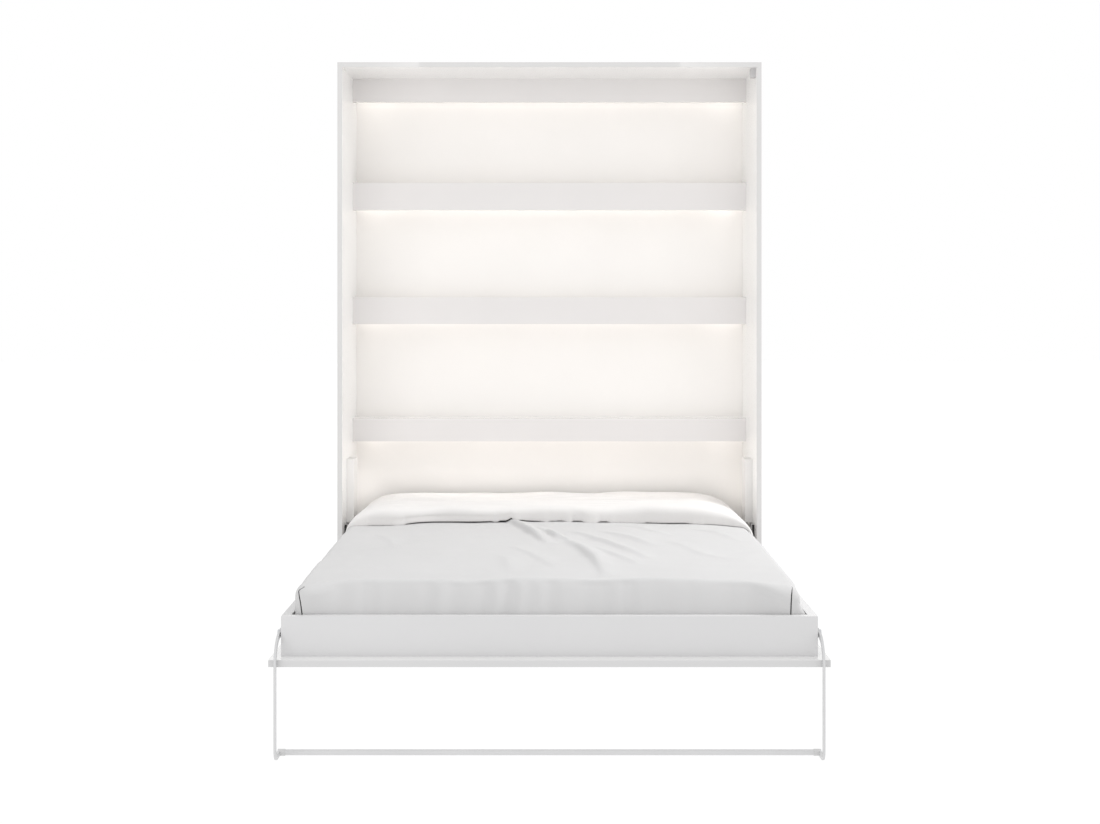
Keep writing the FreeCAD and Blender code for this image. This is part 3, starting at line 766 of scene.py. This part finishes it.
def fold_band():
    half_l, half_r = 0.7124, 0.7092
    s = np.linspace(0, 1, 150)
    one = 1 - (1 - s) ** 2.3
    x = np.concatenate([-(half_l * one)[::-1], (half_r * one)[1:]])
    half = np.where(x < 0, half_l, half_r)
    q = np.clip(np.abs(x) / half, 0, 1)
    shoulder = np.where(x < 0, (1 - q ** 13) ** 0.62, (1 - q ** 9) ** 0.70)
    wav, wav2, wav3 = Waves(31, 0.42), Waves(33, 0.13), Waves(35, 0.30)
    hem_y = HEM_Y - 0.040 * np.clip(np.abs(x + 0.05) / 0.6, 0, 1.1) ** 1.6 + 0.005 * wav3(x, 0 * x) + 0.0018 * wav2(x, 0 * x)
    gap = np.interp(x, [g[0] for g in GAP], [g[1] for g in GAP]) * 0.001
    gap = gap + 0.0002
    shut = 1 - np.clip(gap / 0.0016, 0, 1)
    side_z = 0.4455

    def ridge(y):
        u = np.clip((y - (HEM_Y + 0.045)) / (HEAD_Y - HEM_Y - 0.045), 0, 1)
        return 0.5365 - 0.0335 * u ** 0.85

    rows, fm = [], []

    def body(y, r):
        z = side_z + (r - side_z) * shoulder
        soft = (1 - q ** 6)
        z = z + soft * (0.0030 * wav(x * 0.8, y * 1.7) + 0.0012 * wav2(x * 0.5, y * 1.6))
        return np.maximum(z, cover_z(x, y) + 0.0016)

    front = np.radians(np.linspace(-9, 90, 26))
    crest_y = hem_y + 0.045
    z_crest = body(crest_y, ridge(crest_y))
    hem_z = cover_z(x, hem_y) + gap
    # the lip turned in under the hem, in the near-black gap_shade cloth: painted shade in the gap under the hem
    for dy in (0.030, 0.014, 0.005):
        rows.append(np.column_stack([x, hem_y + dy, cover_z(x, hem_y + dy) + 0.0004 + gap * (1 - dy / 0.030) * 0.9]))
        fm.append(1)
    for i, a in enumerate(front):
        ca, sa = max(0.0, math.cos(a)) ** FOLD_P, math.copysign(abs(math.sin(a)) ** FOLD_P, a)
        share = (sa + FOLD_LOW) / (1 + FOLD_LOW)
        tuck = 0.0030 * np.exp(-((share - 0.36) / 0.10) ** 2) * np.exp(-((x + 0.39) / 0.17) ** 2)
        # towards the ends the band is thin, so its front leans less
        lean = 0.25 + 0.75 * shoulder
        y = hem_y + 0.045 - 0.049 * ca + 0.012 * (1 - lean) * (1 - share) + tuck
        y = y - 0.008 * shut * (1 - share) ** 2
        z = hem_z - 0.003 * shut * (1 - share) + (z_crest - hem_z) * share
        rows.append(np.column_stack([x, y, z]))
        fm.append(0)
    for t in np.linspace(0, 1, 96)[1:]:
        y = crest_y + (HEAD_Y - 0.004 - crest_y) * t
        z = body(y, ridge(y))
        # a second soft ridge where the folded layers end
        z = z + 0.0035 * np.exp(-((y - (HEM_Y + 0.23 + 0.02 * wav3(x * 0.7, 0 * x))) / 0.045) ** 2) * (1 - q ** 8)
        rows.append(np.column_stack([x, y, z]))
        fm.append(0)
    A = np.array(rows)
    # the ends hang down over the cover's sides
    ends_l, ends_r = [], []
    for k in np.linspace(0, 1, 12)[1:]:
        for side, store, col in ((-1, ends_l, A[:, 0, :]), (1, ends_r, A[:, -1, :])):
            e = col.copy()
            e[:, 0] = col[:, 0] - side * 0.0006 * k
            e[:, 2] = col[:, 2] + (0.398 - col[:, 2]) * k
            store.append(e)
    A = np.concatenate([np.array(ends_l[::-1]).transpose(1, 0, 2), A, np.array(ends_r).transpose(1, 0, 2)], 1)
    r, c = A.shape[:2]
    faces, mats = [], []
    for i in range(r - 1):
        for j in range(c - 1):
            faces.append((i * c + j, (i + 1) * c + j, (i + 1) * c + j + 1, i * c + j + 1))
            # the turned-in lip rows take material 1, the near-black gap_shade cloth: painted shade
            mats.append(1 if fm[i] == 1 and fm[i + 1] == 1 else 0)
    return A.reshape(-1, 3), faces, mats


FV, FF, FMAT = fold_band()
fold = mesh_piece("duvet_fold", FV, FF, FMAT, [M["fold"], M["gap_shade"]])
sol = fold.modifiers.new("thick", "SOLIDIFY")
sol.thickness = 0.0015
sol.offset = 1
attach(fold, "bed")


# ---------------------------------------------------------------------------
# mattress
# ---------------------------------------------------------------------------
def mattress():
    lo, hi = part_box("mattress")
    cx, cy = (lo.x + hi.x) / 2, (lo.y + hi.y) / 2
    hx, hy = (hi.x - lo.x) / 2 - 0.001, (hi.y - lo.y) / 2 - 0.007
    cy += 0.006
    z0, z1 = lo.z, hi.z - 0.001
    R = 0.05
    # outline of a rounded rectangle
    pts = []
    for sx, sy, a0 in ((1, 1, 0), (-1, 1, 90), (-1, -1, 180), (1, -1, 270)):
        for a in np.linspace(a0, a0 + 90, 9):
            pts.append((cx + sx * (hx - R) + R * math.cos(math.radians(a)), cy + sy * (hy - R) + R * math.sin(math.radians(a))))
    dense = []
    for i, p in enumerate(pts):
        q = pts[(i + 1) % len(pts)]
        d = math.hypot(q[0] - p[0], q[1] - p[1])
        k = max(1, int(d / 0.03))
        for j in range(k):
            dense.append((p[0] + (q[0] - p[0]) * j / k, p[1] + (q[1] - p[1]) * j / k))
    ring = np.array(dense)
    c = np.array([cx, cy])
    rows = []

    def row(inset, z, amp=0.0):
        d = ring - c
        L = np.linalg.norm(d, axis=1)[:, None]
        r = ring - d / L * inset
        zz = np.full(len(ring), z)
        rows.append(np.column_stack([r, zz]))

    side = [(0.014, 0.004), (0.006, 0.010), (0.003, 0.016), (0.0, 0.04), (-0.0, 0.078), (0.001, 0.106), (0.004, 0.118), (0.009, 0.129), (0.017, 0.139), (0.028, 0.147), (0.042, 0.153)]
    for f in (0.95, 0.7, 0.35, 0.12, 0.04):
        d = ring - c
        rows.append(np.column_stack([c + d * (1 - f), np.full(len(ring), z0 + 0.001)]))
    for inset, h in side:
        row(inset, z0 + h * (z1 - z0) / 0.156)
    for f in (0.04, 0.12, 0.35, 0.7, 0.95):
        d = ring - c
        rows.append(np.column_stack([c + d * (1 - f), np.full(len(ring), z1)]))
    o = grid_mesh("mattress_core", np.array(rows), close_u=True, mats=[M["ticking"]])
    bm = bmesh.new()
    bm.from_mesh(o.data)
    edges = [e for e in bm.edges if e.is_boundary]
    bmesh.ops.holes_fill(bm, edges=edges, sides=0)
    bmesh.ops.recalc_face_normals(bm, faces=bm.faces)
    bm.to_mesh(o.data)
    bm.free()
    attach(o, "bed")
    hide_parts("mattress")
    # tape edges, top and bottom
    for k, z, d_in in (("top", z1 - 0.036, 0.007), ("bottom", z0 + 0.010, 0.006)):
        cu = bpy.data.curves.new("mattress_tape_" + k, "CURVE")
        cu.dimensions = "3D"
        sp = cu.splines.new("POLY")
        sp.points.add(len(ring) - 1)
        for i, p in enumerate(ring):
            d = (p - c) / np.linalg.norm(p - c)
            q = p - d * d_in
            sp.points[i].co = (q[0], q[1], z, 1)
        sp.use_cyclic_u = True
        cu.bevel_depth = 0.0035
        cu.bevel_resolution = 3
        cu.materials.append(M["tape"])
        t = bpy.data.objects.new("mattress_tape_" + k, cu)
        scene.collection.objects.link(t)
        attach(t, "bed")
    return o


mattress()

# the side light is kept off the white boards, so they stay readable from the side
lit = bpy.data.collections.new("side_light_on")
for o in scene.objects:
    if o.name.startswith(("duvet_", "mattress_")) and o.type in ("MESH", "CURVE"):
        lit.objects.link(o)
for n in "bed_rail_right bed_rail_left foot_board".split():
    lit.objects.link(N[n])
key_light.light_linking.receiver_collection = lit
# the niche fills only reach the cabinet and the head of the bed, so the closed front stays even
inside = bpy.data.collections.new("niche_light_on")
for n in ("side_panel_right side_panel_left top_panel back_panel fascia_1 fascia_2 fascia_3 fascia_4 shelf_2 shelf_3 shelf_4 "
          "spring_covers pivot_plate_right pivot_plate_left closed_sensor").split():
    inside.objects.link(N[n])
inside.objects.link(fold)
for o in niche_lights:
    o.light_linking.receiver_collection = inside
for o, names in zip(side_lights + low_lights,
                    (("side_panel_left", "spring_covers"), ("spring_covers",), ("back_panel",), ("back_panel",))):
    group = bpy.data.collections.new(o.name + "_on")
    for n in names:
        group.objects.link(N[n])
    o.light_linking.receiver_collection = group

# ---------------------------------------------------------------------------
# floor
# ---------------------------------------------------------------------------
me = bpy.data.meshes.new("floor")
me.from_pydata([(-30, -30, -0.0005), (30, -30, -0.0005), (30, 30, -0.0005), (-30, 30, -0.0005)], [], [(0, 1, 2, 3)])
floor = bpy.data.objects.new("floor", me)
scene.collection.objects.link(floor)
fm_, nt, p = new_mat("floor_white")
v = coords(nt)
link(nt, ramp(nt, noise(nt, v, 3.0, 2.0), [(0.3, (0.10, 0.10, 0.10)), (0.7, (0.11, 0.11, 0.11))]), p.inputs["Base Color"])
p.inputs["Roughness"].default_value = 1.0
p.inputs["Specular IOR Level"].default_value = 0.0
p.inputs["Emission Color"].default_value = (1, 1, 1, 1)
p.inputs["Emission Strength"].default_value = 0.93
me.materials.append(fm_)
